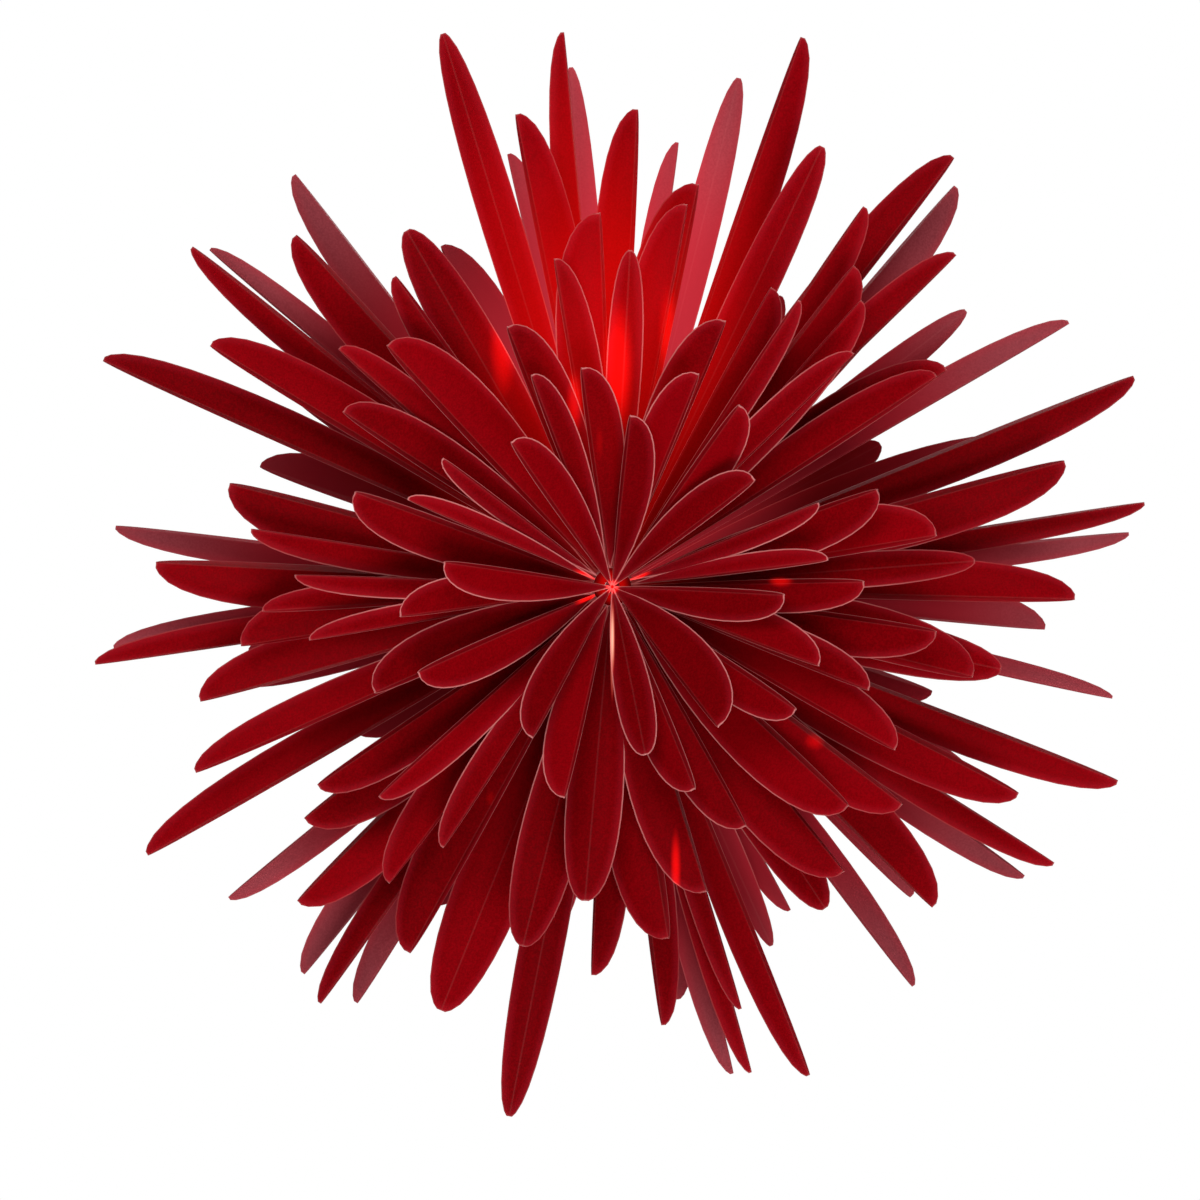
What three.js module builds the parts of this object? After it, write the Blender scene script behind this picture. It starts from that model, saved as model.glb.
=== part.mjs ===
// A giant paper flower: rosettes of folded petals threaded on a rolled-paper core.
// Millimetres and degrees. The finished group faces -Y, with +X to the right and +Z up,
// and its origin is the middle of the core, where the hanging thread is tied.

import * as THREE from "three";

// Distance from the axis to the tips of the longest petals, roughly: every petal is sized from it
const FLOWER_REACH = 300;
const READ_REACH = 300; // the same on the flower as the table of petals gives it

// Paper and core
const PAPER_THICKNESS = 0.5;
const CORE_RADIUS = 4;
const CORE_SIDES = 16;
const CORE_CLEARANCE = 0.3; // between the core and the paper that sits on it
const CORE_TAIL = 9; // length of core that stands out behind the last rosette
const ROSETTE_PITCH = 6.5; // spacing of the rosettes along the core

// The uncut ring round the core, which holds one rosette's petals together
const RING_WIDTH = 8;
const HOLE_SIDES = 10;

// One petal: a blade creased along its length, with a narrow flange behind the crease
const FOOT_WIDTH = 2.4; // where the petal leaves the ring
const TIP_WIDTH = 5; // of the blunt end
const WIDEST_AT = 0.66; // share of the petal's length
const TIP_FULLNESS = 0.46; // lower is blunter
const STATIONS = [0, 0.3, 0.66, 0.92, 1]; // shares of the length where the outline has its corners
const FLANGE_SHARE = 0.22; // of the leaf's width lies behind the crease
const FLANGE_FOLD = 70; // the flange is folded back by this much
const BLADE_FALL = 8; // the blade's cut edge falls back by this much
const OPEN_FALL = 13; // and so do both edges of a leaf that is creased down the middle
const FOLD_RUN = 0.3; // share of the length over which the folds open out of the flat ring
const GAP_SHARE = 0.92; // of the gap between two petals that their facing sides may take up together

// Small differences from petal to petal, as folded by hand
const LEAN_SCATTER = 1.2;
const ROLL_SCATTER = 9;

// Rosettes from the front to the back. lean is the angle between the petals and the way the flower faces,
// leaf is the width of a petal laid flat, and each petal is [azimuth, reach, crease, breadth]:
// azimuth is anticlockwise from the right as seen from the front, reach is the tip's distance from the axis,
// and crease is 1 or -1 for a crease along the anticlockwise or clockwise side, and 0 for one down the middle.
// breadth is how many times the leaf's width a broader or narrower petal has, where it differs.
const ROSETTES = [
  { lean: 46, leaf: 21, petals: [
    [37, 94, -1], [84, 91, 1], [125, 93, 1], [172, 90, -1], [242, 91, 1], [281, 91, 0], [307, 93, -1, 1.4],
    [357, 91, 1],
  ] },
  { lean: 52, leaf: 23, petals: [
    [7, 115, -1], [22, 118, 1], [55, 117, 1], [68, 121, -1], [98, 117, 1], [111, 120, 1], [143, 113, -1],
    [157, 118, 1], [188, 114, 1], [204, 113, -1], [257, 115, 1], [292, 116, 1], [326, 117, 1], [339, 117, -1],
  ] },
  { lean: 58, leaf: 27, petals: [
    [1, 134, 1], [20, 150, 1], [67, 153, -1], [112, 149, 1], [160, 146, -1], [204, 139, 1], [299, 146, 1],
    [338, 147, -1],
  ] },
  { lean: 64, leaf: 32, petals: [
    [9, 175, -1], [44, 179, -1, 1.2], [57, 182, 1], [87, 180, 0], [100, 178, 1], [133, 176, 1], [147, 172, 1],
    [178, 170, -1], [190, 165, 1], [222, 168, -1], [237, 167, 1], [265, 169, 0], [287, 171, 1], [317, 172, 1],
    [330, 174, -1], [352, 175, 1],
  ] },
  { lean: 69.5, leaf: 34, petals: [
    [4, 196, 0, 0.6], [33, 208, -1], [49, 204, 1], [62, 183, 1], [79, 209, -1], [92, 201, -1], [125, 204, -1],
    [139, 195, 1], [171, 197, -1], [184, 189, 1], [214, 192, -1], [233, 200, 1], [256, 200, 0], [279, 192, 1],
    [309, 198, 1], [323, 195, 1], [346, 200, -1],
  ] },
  { lean: 75, leaf: 34, petals: [
    [33, 217, -1], [53, 218, 1], [78, 224, -1], [120, 224, 0, 0.9], [165, 216, -1], [189, 205, 1],
    [217, 210, -1], [241, 228, 1], [267, 212, -1, 0.7], [303.5, 210, 0, 0.9], [348, 216, 0, 0.9],
  ] },
  { lean: 80.5, leaf: 31, petals: [
    [15.5, 258, 1], [44, 262, -1], [56.5, 250, 1], [64.5, 267, 0, 0.8], [87, 263, -1, 0.9],
    [101.5, 264, 1, 0.9], [132, 260, -1, 0.9], [149, 257, 1, 0.9], [177, 251, -1], [195.5, 235, 1],
    [204, 250, 1], [225, 244, -1], [248, 251, 0, 1.3], [276.5, 243, -1], [287, 243, 1, 0.7], [315, 249, -1],
    [333, 250, 1, 0.9], [358.5, 254, -1, 0.9],
  ] },
  { lean: 87, leaf: 26, petals: [
    [9, 301, 1, 0.6], [22, 314, 1, 0.9], [51.5, 306, -1], [71, 323, 1, 0.9], [95, 310, -1, 0.7],
    [107, 322, 0, 0.9], [141, 301, -1, 0.7], [156, 311, 1, 0.9], [188.5, 291, 1, 0.7], [210, 298, 1, 0.9],
    [235, 284, 1, 0.7], [259, 301, 0], [286, 281, 1, 0.6], [292, 293, 1, 0.9], [328, 290, 1, 0.7],
    [339, 301, 1, 0.9],
  ] },
  { lean: 94, leaf: 26, petals: [
    [6, 294, 1, 0.6], [30, 299, -1, 0.7], [49.5, 300, 1], [76, 298, 0, 0.8], [94.5, 296, 0, 0.7],
    [127.5, 295, -1, 0.9], [140, 297, 1, 0.6], [173, 284, -1, 0.7], [187, 284, 1, 0.7], [219, 279, -1, 0.7],
    [231.5, 280, 1, 0.9], [238.5, 277, 1], [284, 284, 1, 0.7], [307, 284, -1, 0.7], [325, 286, 1, 0.7],
    [347.5, 290, -1, 0.5],
  ] },
  { lean: 100.5, leaf: 28, petals: [
    [19, 250, -1, 0.9], [38, 258, 0, 0.7], [65, 248, 0, 0.7], [81.5, 259, -1, 0.6], [95, 256, 0, 0.7],
    [103.5, 256, 1], [128, 250, -1, 0.8], [146, 248, -1, 0.7], [177, 248, -1], [195, 215, 0, 0.7],
    [203, 244, 1, 0.7], [228, 240, -1, 0.8], [249, 248, 1], [279, 240, -1, 0.8], [294, 225, 0, 0.6],
    [314, 247, -1], [331, 245, -1, 0.7], [354.5, 250, -1],
  ] },
  { lean: 107, leaf: 28, petals: [
    [9, 216, 1, 0.8], [28, 176, 0], [46, 214, -1], [60, 195, 1], [97, 214, 0], [116.5, 222, 1],
    [142, 232, 1, 0.8], [161, 216, 1], [190, 214, 0], [217, 205, -1], [240, 212, -1], [260, 205, 0],
    [299, 214, 1, 0.6], [324, 205, -1], [342, 195, 1],
  ] },
  { lean: 114, leaf: 28, petals: evenPetals(12, 28, 174) },
  { lean: 122, leaf: 26, petals: evenPetals(8, 0, 143) },
  { lean: 132, leaf: 21, petals: evenPetals(8, 22, 94) },
];

// Petals of one length, evenly spaced, with the crease on alternate sides.
function evenPetals(count, firstAzimuth, reach) {
  return Array.from({ length: count }, (_, i) => [firstAzimuth + (360 / count) * i, reach, i % 2 ? 1 : -1]);
}

const radians = THREE.MathUtils.degToRad;
const degrees = THREE.MathUtils.radToDeg;

// A length of the table, at the size that the flower is made.
function atReach(length) {
  return (length * FLOWER_REACH) / READ_REACH;
}

// A fixed scatter between -1 and 1 that differs from petal to petal.
function scatter(azimuth, index, kind) {
  return Math.sin(azimuth * 2.39 + index * 4.1 + kind * 1.7);
}

// The width of a petal along its length: 0 at the foot, 1 at its widest.
function leafProfile(share) {
  const rise = (TIP_FULLNESS * WIDEST_AT) / (1 - WIDEST_AT);
  const outline = (x) => x ** rise * (1 - x) ** TIP_FULLNESS;
  return outline(share) / outline(WIDEST_AT);
}

// Directions along a petal, out of its face and across it (anticlockwise).
function petalAxes(lean, azimuth) {
  const [l, a] = [radians(lean), radians(azimuth)];
  const along = new THREE.Vector3(Math.sin(l) * Math.cos(a), Math.sin(l) * Math.sin(a), Math.cos(l));
  const face = new THREE.Vector3(-Math.cos(l) * Math.cos(a), -Math.cos(l) * Math.sin(a), Math.sin(l));
  return { along, face, across: face.clone().cross(along) };
}

// The directions out of and across a petal, turned about its length.
function rolled({ face, across }, roll) {
  return {
    across: across.clone().multiplyScalar(Math.cos(roll)).addScaledVector(face, Math.sin(roll)),
    face: face.clone().multiplyScalar(Math.cos(roll)).addScaledVector(across, -Math.sin(roll)),
  };
}

// Widths of the anticlockwise and clockwise sides of a leaf at its widest.
function sideWidths(leaf, crease) {
  if (crease === 0) return [leaf / 2, leaf / 2];
  const [flange, blade] = [leaf * FLANGE_SHARE, leaf * (1 - FLANGE_SHARE)];
  return crease > 0 ? [flange, blade] : [blade, flange];
}

// The same for one petal of a rosette, with its own breadth.
function petalSides({ leaf }, [, , crease, breadth = 1]) {
  return sideWidths(atReach(leaf * breadth), crease);
}

// Length of arc that the facing sides of two petals may take up between them.
function gapRoom(radius, angle) {
  return radius * radians(angle) * GAP_SHARE;
}

// Width of a side that shares its room with the facing side of the next petal, each by its own width.
function sharedWidth(own, facing, room) {
  return Math.min(own, (room * own) / (own + facing));
}

// Folds of the anticlockwise and clockwise sides, positive towards the front.
function sideFolds(crease) {
  if (crease === 0) return [-OPEN_FALL, -OPEN_FALL];
  return crease > 0 ? [-FLANGE_FOLD, -BLADE_FALL] : [-BLADE_FALL, -FLANGE_FOLD];
}

// A point of the sheet as a pair, on the front and the back of the paper.
function paperPair(point, normal, offset = PAPER_THICKNESS / 2) {
  return [point.clone().addScaledVector(normal, offset), point.clone().addScaledVector(normal, -offset)];
}

// Pairs across a petal: anticlockwise edge, crease and clockwise edge.
function crossSection(centre, { across, face }, widths, folds) {
  const [left, right] = folds.map(radians);
  const leftEdge = across.clone().multiplyScalar(Math.cos(left)).addScaledVector(face, Math.sin(left));
  const rightEdge = across.clone().multiplyScalar(-Math.cos(right)).addScaledVector(face, Math.sin(right));
  const leftFace = across.clone().multiplyScalar(-Math.sin(left)).addScaledVector(face, Math.cos(left));
  const rightFace = across.clone().multiplyScalar(Math.sin(right)).addScaledVector(face, Math.cos(right));
  const mitre = leftFace.clone().add(rightFace).normalize();
  return [
    paperPair(centre.clone().addScaledVector(leftEdge, widths[0]), leftFace),
    paperPair(centre, mitre, PAPER_THICKNESS / 2 / mitre.dot(leftFace)),
    paperPair(centre.clone().addScaledVector(rightEdge, widths[1]), rightFace),
  ];
}

// Collects the points and triangles of one closed sheet of paper.
class Sheet {
  points = [];
  triangles = [];

  // Stores a pair of points and gives their numbers.
  add([front, back]) {
    this.points.push(front, back);
    return [this.points.length - 2, this.points.length - 1];
  }

  // A triangle on the front, anticlockwise as seen from there, and the same one on the back.
  skin(a, b, c) {
    this.triangles.push(a[0], b[0], c[0], a[1], c[1], b[1]);
  }

  // The cut edge from a to b, with the paper on its left as seen from the front.
  cutEdge(a, b) {
    this.triangles.push(a[0], a[1], b[1], a[0], b[1], b[0]);
  }

  geometry() {
    const positions = new Float32Array(this.points.flatMap((p) => p.toArray()));
    const made = new THREE.BufferGeometry();
    made.setAttribute("position", new THREE.BufferAttribute(positions, 3));
    made.setIndex(this.triangles);
    made.computeVertexNormals();
    return made;
  }
}

// A pair of points on the flat ring of a rosette, at a slant distance from its apex.
function ringPair(lean, azimuth, slant) {
  const { along, face } = petalAxes(lean, azimuth);
  return paperPair(along.multiplyScalar(slant), face);
}

// Slant distance from the apex to the edge of the hole that clears the core.
function holeSlant(lean) {
  const l = radians(lean);
  const flatRadius = (CORE_RADIUS + CORE_CLEARANCE) / Math.cos(Math.PI / HOLE_SIDES);
  return (flatRadius + (PAPER_THICKNESS / 2) * Math.abs(Math.cos(l))) / Math.sin(l);
}

// Rows of pairs along one petal, from its foot on the ring to its tip.
function petalRows(rosette, index, p, ringSlant) {
  const { lean, petals } = rosette;
  const [azimuth, , crease] = petals[p];
  const reach = atReach(petals[p][1]);
  const ringRadius = ringSlant * Math.sin(radians(lean));
  const nextPetal = petals[(p + 1) % petals.length];
  const lastPetal = petals.at(p - 1);
  const after = (nextPetal[0] - azimuth + 360) % 360;
  const before = (azimuth - lastPetal[0] + 360) % 360;

  const footHalf = Math.min(FOOT_WIDTH / 2, gapRoom(ringRadius, Math.min(before, after)) / 2);
  const footAngle = degrees(footHalf / ringRadius);
  const foot = [footAngle, 0, -footAngle].map((turn) => ringPair(lean, azimuth + turn, ringSlant));

  const widestRadius = (petal) => ringRadius + (atReach(petal[1]) - ringRadius) * WIDEST_AT;
  const roomTo = (neighbour, angle) => gapRoom(Math.min(widestRadius(petals[p]), widestRadius(neighbour)), angle);
  const sides = petalSides(rosette, petals[p]);
  const widths = [
    sharedWidth(sides[0], petalSides(rosette, nextPetal)[1], roomTo(nextPetal, after)),
    sharedWidth(sides[1], petalSides(rosette, lastPetal)[0], roomTo(lastPetal, before)),
  ];
  const folds = sideFolds(crease);

  const leaning = lean + LEAN_SCATTER * scatter(azimuth, index, 1);
  const rolling = ROLL_SCATTER * scatter(azimuth, index, 2);
  const axes = petalAxes(leaning, azimuth);
  const length = (reach - ringRadius) / Math.sin(radians(leaning));
  const start = petalAxes(lean, azimuth).along.multiplyScalar(ringSlant);
  const bluntness = TIP_WIDTH / (widths[0] + widths[1]);

  const rows = STATIONS.slice(1).map((share) => {
    const opened = Math.min(1, share / FOLD_RUN);
    const outline = Math.max(leafProfile(share), bluntness);
    const centre = start.clone().addScaledVector(axes.along, length * share);
    const turned = rolled(axes, radians(rolling * opened));
    return crossSection(centre, turned, widths.map((w) => w * outline), folds.map((f) => f * opened));
  });
  return { footAngle, rows: [foot, ...rows] };
}

// Skins one petal from row to row, with its cut edges and blunt tip, and gives its foot's three pairs.
function skinPetal(sheet, rows) {
  const numbered = rows.map((row) => row.map((pair) => sheet.add(pair)));
  for (let s = 1; s < numbered.length; s += 1) {
    const [left, middle, right] = numbered[s - 1];
    const [nextLeft, nextMiddle, nextRight] = numbered[s];
    sheet.skin(left, middle, nextMiddle);
    sheet.skin(left, nextMiddle, nextLeft);
    sheet.skin(middle, right, nextRight);
    sheet.skin(middle, nextRight, nextMiddle);
    sheet.cutEdge(nextLeft, left);
    sheet.cutEdge(right, nextRight);
  }
  const [tipLeft, tipMiddle, tipRight] = numbered.at(-1);
  sheet.cutEdge(tipMiddle, tipLeft);
  sheet.cutEdge(tipRight, tipMiddle);
  return numbered[0];
}

// Angle of the point after number i in an anticlockwise loop, past 360 once the loop has gone round.
function nextAngle(loop, i) {
  if (i >= loop.length) return Infinity;
  return i + 1 < loop.length ? loop[i + 1].angle : loop[0].angle + 360;
}

// Fills the ring between the hole and the rim, two anticlockwise loops that start at the same angle.
function fillRing(sheet, hole, rim) {
  const pairAt = (loop, i) => loop[i % loop.length].pair;
  let [h, r] = [0, 0];
  while (h < hole.length || r < rim.length) {
    if (nextAngle(rim, r) <= nextAngle(hole, h)) {
      sheet.skin(pairAt(hole, h), pairAt(rim, r), pairAt(rim, r + 1));
      r += 1;
    } else {
      sheet.skin(pairAt(hole, h), pairAt(rim, r), pairAt(hole, h + 1));
      h += 1;
    }
  }
}

// Closes the middle of the front rosette to a point.
function closeMiddle(sheet, lean, rim) {
  const apex = sheet.add(paperPair(new THREE.Vector3(), new THREE.Vector3(0, 0, 1), apexDepth(lean)));
  rim.forEach(({ pair }, r) => sheet.skin(apex, pair, rim[(r + 1) % rim.length].pair));
}

// Cuts the hole for the core and joins it to the rim.
function pierceMiddle(sheet, lean, rim) {
  const hole = Array.from({ length: HOLE_SIDES }, (_, h) => {
    const angle = rim[0].angle + (360 / HOLE_SIDES) * h;
    return { angle, pair: sheet.add(ringPair(lean, angle, holeSlant(lean))) };
  });
  fillRing(sheet, hole, rim);
  hole.forEach(({ pair }, h) => sheet.cutEdge(hole[(h + 1) % HOLE_SIDES].pair, pair));
}

// Half the height of the paper at the point of a cone.
function apexDepth(lean) {
  return PAPER_THICKNESS / 2 / Math.sin(radians(lean));
}

// One rosette: petals cut from one sheet of paper and folded, with its apex at the origin, facing +Z.
function rosetteGeometry(rosette, index) {
  const { lean, petals } = rosette;
  const isFront = index === 0;
  const ringSlant = (isFront ? 0 : holeSlant(lean)) + RING_WIDTH;
  const sheet = new Sheet();
  const rim = petals.flatMap(([azimuth], p) => {
    const { footAngle, rows } = petalRows(rosette, index, p, ringSlant);
    const [left, middle, right] = skinPetal(sheet, rows);
    return [
      { angle: azimuth - footAngle, pair: right },
      { angle: azimuth, pair: middle },
      { angle: azimuth + footAngle, pair: left },
    ];
  });
  for (let last = 2; last < rim.length; last += 3) {
    sheet.cutEdge(rim[last].pair, rim[(last + 1) % rim.length].pair);
  }
  if (isFront) closeMiddle(sheet, lean, rim);
  else pierceMiddle(sheet, lean, rim);
  return sheet.geometry();
}

const PETAL_RED = new THREE.Color(0.42, 0.005, 0.012);
const CORE_RED = new THREE.Color(0.3, 0.006, 0.012);

// Height of a rosette's apex on the core, counted from the front.
function apexHeight(index) {
  return ((ROSETTES.length - 1) / 2 - index) * ROSETTE_PITCH;
}

function rosetteMesh(rosette, index) {
  const material = new THREE.MeshStandardMaterial({ color: PETAL_RED, roughness: 0.55, metalness: 0 });
  const mesh = new THREE.Mesh(rosetteGeometry(rosette, index), material);
  mesh.name = `rosette_${String(index + 1).padStart(2, "0")}`;
  mesh.position.z = apexHeight(index);
  return mesh;
}

// The core: a tightly rolled paper stick that the rosettes are glued round, ending under the closed front one.
function coreMesh() {
  const front = apexHeight(0) - apexDepth(ROSETTES[0].lean) - CORE_CLEARANCE;
  const back = apexHeight(ROSETTES.length - 1) - CORE_TAIL;
  const geometry = new THREE.CylinderGeometry(CORE_RADIUS, CORE_RADIUS, front - back, CORE_SIDES);
  geometry.rotateX(Math.PI / 2).translate(0, 0, (front + back) / 2);
  const material = new THREE.MeshStandardMaterial({ color: CORE_RED, roughness: 0.7, metalness: 0 });
  const mesh = new THREE.Mesh(geometry, material);
  mesh.name = "core_roll";
  return mesh;
}

const flower = new THREE.Group();
flower.name = "giant_paper_flower";
flower.add(coreMesh(), ...ROSETTES.map(rosetteMesh));
flower.rotation.x = Math.PI / 2;

export default flower;
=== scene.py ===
"""Builds the giant paper flower's folded petals, its rolled core and a plain studio."""

import math
from typing import NamedTuple

import bmesh
import bpy
import numpy as np
from mathutils import Matrix, Vector


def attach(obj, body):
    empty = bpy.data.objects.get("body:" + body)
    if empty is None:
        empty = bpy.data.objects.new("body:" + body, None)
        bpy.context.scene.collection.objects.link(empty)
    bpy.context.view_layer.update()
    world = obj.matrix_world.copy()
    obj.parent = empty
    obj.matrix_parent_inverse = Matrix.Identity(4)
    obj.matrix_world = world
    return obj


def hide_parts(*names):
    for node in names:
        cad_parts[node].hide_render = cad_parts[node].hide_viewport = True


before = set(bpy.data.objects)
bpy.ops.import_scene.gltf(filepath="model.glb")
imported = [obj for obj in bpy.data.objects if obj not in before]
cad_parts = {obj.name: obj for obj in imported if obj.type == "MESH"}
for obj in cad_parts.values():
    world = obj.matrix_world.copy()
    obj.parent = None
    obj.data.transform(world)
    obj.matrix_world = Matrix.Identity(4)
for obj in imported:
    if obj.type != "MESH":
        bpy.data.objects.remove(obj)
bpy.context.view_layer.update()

bl_info = {
    "name": "Giant paper flower",
    "version": (1, 0, 0),
    "blender": (4, 5, 0),
    "location": "View3D > Sidebar > Paper flower",
    "description": "Builds a flower of folded paper petals on a rolled core",
    "category": "Object",
}

MM = 0.001


class Petal(NamedTuple):
    """One petal of a rosette.

    The azimuth is in degrees, and the reach is the tip's distance from the axis in millimetres.
    A crease of 1 or -1 runs along the anticlockwise or clockwise side of the blade, and 0 runs down
    the middle of an open leaf. The breadth is a multiple of the width of the rosette's leaf.
    """

    azimuth: float
    reach: float
    crease: int
    breadth: float = 1.0


class Rosette(NamedTuple):
    """One ring of petals: lean in degrees, full width of a leaf in millimetres, and the petals."""

    lean: float
    leaf: float
    petals: list


def even_petals(count, first_azimuth, reach):
    """Petals of one length, evenly spaced, with the crease on alternate sides."""
    step = 360 / count
    return [(first_azimuth + step * i, reach, 1 if i % 2 else -1) for i in range(count)]


# Rosettes from front to back: lean, leaf and petals
ROSETTE_TABLE = [
    (46, 21, [
        (37, 94, -1), (84, 91, 1), (125, 93, 1), (172, 90, -1), (242, 91, 1), (281, 91, 0),
        (307, 93, -1, 1.4), (357, 91, 1),
    ]),
    (52, 23, [
        (7, 115, -1), (22, 118, 1), (55, 117, 1), (68, 121, -1), (98, 117, 1), (111, 120, 1),
        (143, 113, -1), (157, 118, 1), (188, 114, 1), (204, 113, -1), (257, 115, 1), (292, 116, 1),
        (326, 117, 1), (339, 117, -1),
    ]),
    (58, 27, [
        (1, 134, 1), (20, 150, 1), (67, 153, -1), (112, 149, 1), (160, 146, -1), (204, 139, 1),
        (299, 146, 1), (338, 147, -1),
    ]),
    (64, 32, [
        (9, 175, -1), (44, 179, -1, 1.2), (57, 182, 1), (87, 180, 0), (100, 178, 1), (133, 176, 1),
        (147, 172, 1), (178, 170, -1), (190, 165, 1), (222, 168, -1), (237, 167, 1), (265, 169, 0),
        (287, 171, 1), (317, 172, 1), (330, 174, -1), (352, 175, 1),
    ]),
    (69.5, 34, [
        (4, 196, 0, 0.6), (33, 208, -1), (49, 204, 1), (62, 183, 1), (79, 209, -1), (92, 201, -1),
        (125, 204, -1), (139, 195, 1), (171, 197, -1), (184, 189, 1), (214, 192, -1), (233, 200, 1),
        (256, 200, 0), (279, 192, 1), (309, 198, 1), (323, 195, 1), (346, 200, -1),
    ]),
    (75, 34, [
        (33, 217, -1), (53, 218, 1), (78, 224, -1), (120, 224, 0, 0.9), (165, 216, -1), (189, 205, 1),
        (217, 210, -1), (241, 228, 1), (267, 212, -1, 0.7), (303.5, 210, 0, 0.9), (348, 216, 0, 0.9),
    ]),
    (80.5, 31, [
        (15.5, 258, 1), (44, 262, -1), (56.5, 250, 1), (64.5, 267, 0, 0.8), (87, 263, -1, 0.9),
        (101.5, 264, 1, 0.9), (132, 260, -1, 0.9), (149, 257, 1, 0.9), (177, 251, -1), (195.5, 235, 1),
        (204, 250, 1), (225, 244, -1), (248, 251, 0, 1.3), (276.5, 243, -1), (287, 243, 1, 0.7),
        (315, 249, -1), (333, 250, 1, 0.9), (358.5, 254, -1, 0.9),
    ]),
    (87, 26, [
        (9, 301, 1, 0.6), (22, 314, 1, 0.9), (51.5, 306, -1), (71, 323, 1, 0.9), (95, 310, -1, 0.7),
        (107, 322, 0, 0.9), (141, 301, -1, 0.7), (156, 311, 1, 0.9), (188.5, 291, 1, 0.7),
        (210, 298, 1, 0.9), (235, 284, 1, 0.7), (259, 301, 0), (286, 281, 1, 0.6), (292, 293, 1, 0.9),
        (328, 290, 1, 0.7), (339, 301, 1, 0.9),
    ]),
    (94, 26, [
        (6, 294, 1, 0.6), (30, 299, -1, 0.7), (49.5, 300, 1), (76, 298, 0, 0.8), (94.5, 296, 0, 0.7),
        (127.5, 295, -1, 0.9), (140, 297, 1, 0.6), (173, 284, -1, 0.7), (187, 284, 1, 0.7),
        (219, 279, -1, 0.7), (231.5, 280, 1, 0.9), (238.5, 277, 1), (284, 284, 1, 0.7), (307, 284, -1, 0.7),
        (325, 286, 1, 0.7), (347.5, 290, -1, 0.5),
    ]),
    (100.5, 28, [
        (19, 250, -1, 0.9), (38, 258, 0, 0.7), (65, 248, 0, 0.7), (81.5, 259, -1, 0.6), (95, 256, 0, 0.7),
        (103.5, 256, 1), (128, 250, -1, 0.8), (146, 248, -1, 0.7), (177, 248, -1), (195, 215, 0, 0.7),
        (203, 244, 1, 0.7), (228, 240, -1, 0.8), (249, 248, 1), (279, 240, -1, 0.8), (294, 225, 0, 0.6),
        (314, 247, -1), (331, 245, -1, 0.7), (354.5, 250, -1),
    ]),
    (107, 28, [
        (9, 216, 1, 0.8), (28, 176, 0), (46, 214, -1), (60, 195, 1), (97, 214, 0), (116.5, 222, 1),
        (142, 232, 1, 0.8), (161, 216, 1), (190, 214, 0), (217, 205, -1), (240, 212, -1), (260, 205, 0),
        (299, 214, 1, 0.6), (324, 205, -1), (342, 195, 1),
    ]),
    (114, 28, even_petals(12, 28, 174)),
    (122, 26, even_petals(8, 0, 143)),
    (132, 21, even_petals(8, 22, 94)),
]
ROSETTES = [
    Rosette(lean, leaf, [Petal(*petal) for petal in petals]) for lean, leaf, petals in ROSETTE_TABLE
]
FRONT_COUNT = 8

# The core, and the rings round it that hold the petals
CORE_RADIUS = 4 * MM
CORE_CLEARANCE = 0.3 * MM
ROSETTE_PITCH = 6.5 * MM
RING_WIDTH = 8 * MM
RING_SIDES = 48
# The front petals start this far from the middle
FRONT_START = 1.5 * MM

# Where a petal is widest, and the share of the room there that the facing sides of two petals may take
WIDEST_AT = 0.66
GAP_SHARE = 0.92

# Scatter of lean and roll in degrees, its steps by azimuth, rosette and kind, and its kinds
LEAN_SCATTER = 1.2
ROLL_SCATTER = 9
SCATTER_STEPS = (2.39, 4.1, 1.7)
LEAN, ROLL, TONE = 1, 2, 3

# Columns across a petal and rows along it, and the sharpest fold that is shaded smooth
PETAL_ROWS = 14
ROW_CROWDING = 1.8
FLANGE_COLUMNS = 2
BLADE_COLUMNS = 7
OPEN_COLUMNS = 8
SMOOTH_ANGLE = math.radians(35)

# Distance from edges and folds that the rings are given, past all lines and bands
CLEAR_OF_EDGES = 10 * MM

# Camera: the width of its view at the flower, and the pixel where the flower's middle lies
CAMERA_DISTANCE = 2.4
FRAME_WIDTH = 0.672
FLOWER_PIXEL = (612, 587)
IMAGE_SIZE = 1200
SENSOR_WIDTH = 36.0
FAR_CLIP = 50.0

# Floor: the lift is white added where it is seen, and it fades to white between two distances
FLOOR_DROP = 1.1
FLOOR_RADIUS = 6.0
FLOOR_SIDES = 96
FLOOR_COLOUR = (0.86, 0.86, 0.86, 1.0)
FLOOR_ROUGHNESS = 0.9
FLOOR_LIFT = 0.5
FLOOR_FADE = (0.7, 1.1)

# Light: strength of the world, and each lamp's place, size in metres and power in watts
WHITE = (1.0, 1.0, 1.0, 1.0)
WORLD_STRENGTH = 0.17
LAMPS = {
    "key_lamp": ((0.35, -1.9, -0.9), 0.9, 26.0),
    "fill_lamp": ((-0.15, -1.0, 0.6), 0.6, 4.8),
    "back_lamp": ((0.2, 1.6, 1.2), 1.2, 22.0),
}


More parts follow.
